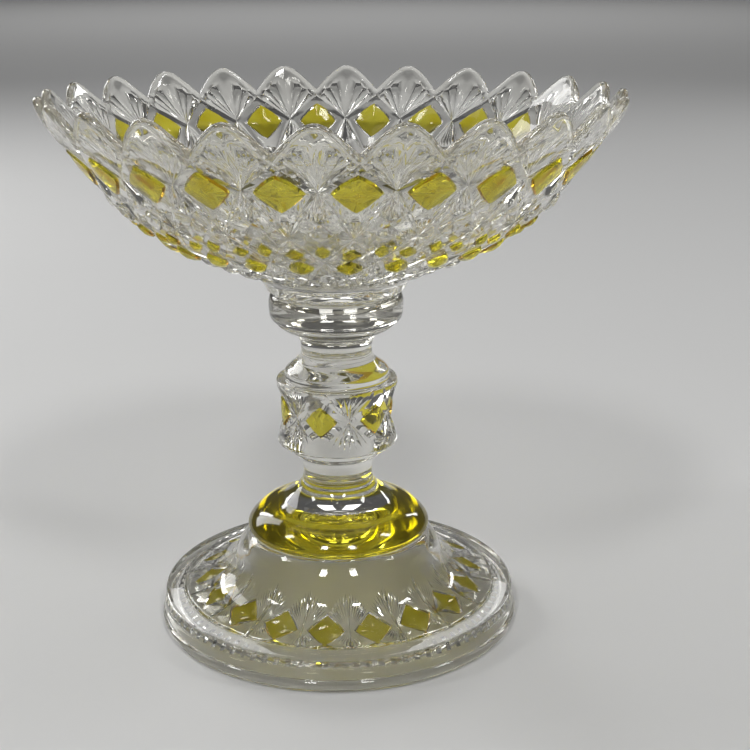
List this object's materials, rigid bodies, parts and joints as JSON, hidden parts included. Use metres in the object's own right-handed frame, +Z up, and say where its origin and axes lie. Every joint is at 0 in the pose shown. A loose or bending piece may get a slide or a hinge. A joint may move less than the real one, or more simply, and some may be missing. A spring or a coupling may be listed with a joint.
{
  "type": "glass compote",
  "caption": "Footed glass dish: scalloped pressed bowl with fans and yellow lozenges, on a turned stem with a knop, a yellow ring and a hollow foot.",
  "frame": {"origin": "on the stem's axis, in the plane the foot stands on", "axes": "+Z up along the stem's axis, towards the bowl's mouth; the front of the dish faces -Y"},
  "size_m": [0.2092, 0.2092, 0.204],
  "materials": {
    "clear_glass": "clear colourless pressed glass, fire polished, slightly wavy",
    "yellow_stain": "transparent olive-yellow stain on glass"
  },
  "bodies": {
    "root": {"bowl": "clear_glass", "joining_wafer": "clear_glass", "pedestal": "clear_glass", "yellow_ring": "yellow_stain", "bowl_lozenge_01": "yellow_stain", "bowl_lozenge_02": "yellow_stain", "bowl_lozenge_03": "yellow_stain", "bowl_lozenge_04": "yellow_stain", "bowl_lozenge_05": "yellow_stain", "bowl_lozenge_06": "yellow_stain", "bowl_lozenge_07": "yellow_stain", "bowl_lozenge_08": "yellow_stain", "bowl_lozenge_09": "yellow_stain", "bowl_lozenge_10": "yellow_stain", "bowl_lozenge_11": "yellow_stain", "bowl_lozenge_12": "yellow_stain", "bowl_lozenge_13": "yellow_stain", "bowl_lozenge_14": "yellow_stain", "bowl_lozenge_15": "yellow_stain", "bowl_lozenge_16": "yellow_stain", "bowl_lozenge_17": "yellow_stain", "bowl_lozenge_18": "yellow_stain", "bowl_lozenge_19": "yellow_stain", "bowl_lozenge_20": "yellow_stain", "bowl_lozenge_21": "yellow_stain", "bowl_lozenge_22": "yellow_stain", "bowl_lozenge_23": "yellow_stain", "bowl_lozenge_24": "yellow_stain", "knop_lozenge_01": "yellow_stain", "knop_lozenge_02": "yellow_stain", "knop_lozenge_03": "yellow_stain", "knop_lozenge_04": "yellow_stain", "knop_lozenge_05": "yellow_stain", "knop_lozenge_06": "yellow_stain", "foot_lozenge_01": "yellow_stain", "foot_lozenge_02": "yellow_stain", "foot_lozenge_03": "yellow_stain", "foot_lozenge_04": "yellow_stain", "foot_lozenge_05": "yellow_stain", "foot_lozenge_06": "yellow_stain", "foot_lozenge_07": "yellow_stain", "foot_lozenge_08": "yellow_stain", "foot_lozenge_09": "yellow_stain", "foot_lozenge_10": "yellow_stain", "foot_lozenge_11": "yellow_stain", "foot_lozenge_12": "yellow_stain", "foot_lozenge_13": "yellow_stain", "foot_lozenge_14": "yellow_stain", "foot_lozenge_15": "yellow_stain", "foot_lozenge_16": "yellow_stain", "foot_lozenge_17": "yellow_stain", "foot_lozenge_18": "yellow_stain"}
  },
  "joints": []
}
